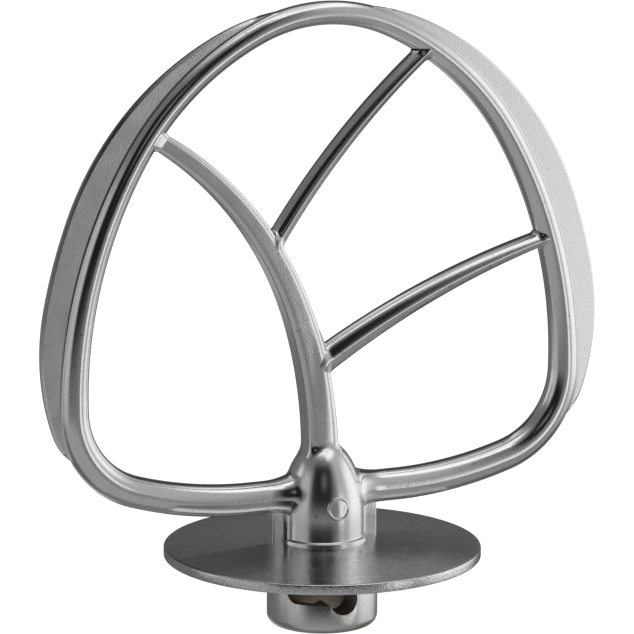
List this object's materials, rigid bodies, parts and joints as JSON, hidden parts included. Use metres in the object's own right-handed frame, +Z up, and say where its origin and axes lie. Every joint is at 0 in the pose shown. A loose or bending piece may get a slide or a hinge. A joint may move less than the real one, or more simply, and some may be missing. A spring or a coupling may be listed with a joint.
{
  "type": "pastry beater",
  "caption": "Rigid loop-shaped stand-mixer beater for cutting fat into flour: round bar with flat side blades, curved inner ribs, domed hub, splash disc and bayonet collar.",
  "frame": {"origin": "on the drive shaft's axis, at the centre of the collar's open end, which the beater stands on", "axes": "+Z up along the shaft's axis from collar to loop; the paddle lies in XZ and its front, with the pin pocket and the badge, faces -Y"},
  "size_m": [0.1626, 0.086, 0.1703],
  "materials": {
    "polished_steel": "polished stainless, fine lengthwise brushing",
    "blade_steel": "satin ground stainless",
    "brushed_steel": "half-polished cast stainless",
    "turned_steel": "satin turned stainless"
  },
  "bodies": {
    "root": {"bayonet_collar": "turned_steel", "splash_disc": "brushed_steel", "hub_flange": "blade_steel", "hub_dome": "blade_steel", "mould_badge": "blade_steel", "left_web": "polished_steel", "right_web": "polished_steel", "left_arm": "polished_steel", "right_arm": "polished_steel", "left_side_bar": "polished_steel", "right_side_bar": "polished_steel", "top_bow": "polished_steel", "left_blade": "blade_steel", "right_blade": "blade_steel", "main_rib": "polished_steel", "upper_branch": "polished_steel", "lower_branch": "polished_steel"}
  },
  "joints": []
}
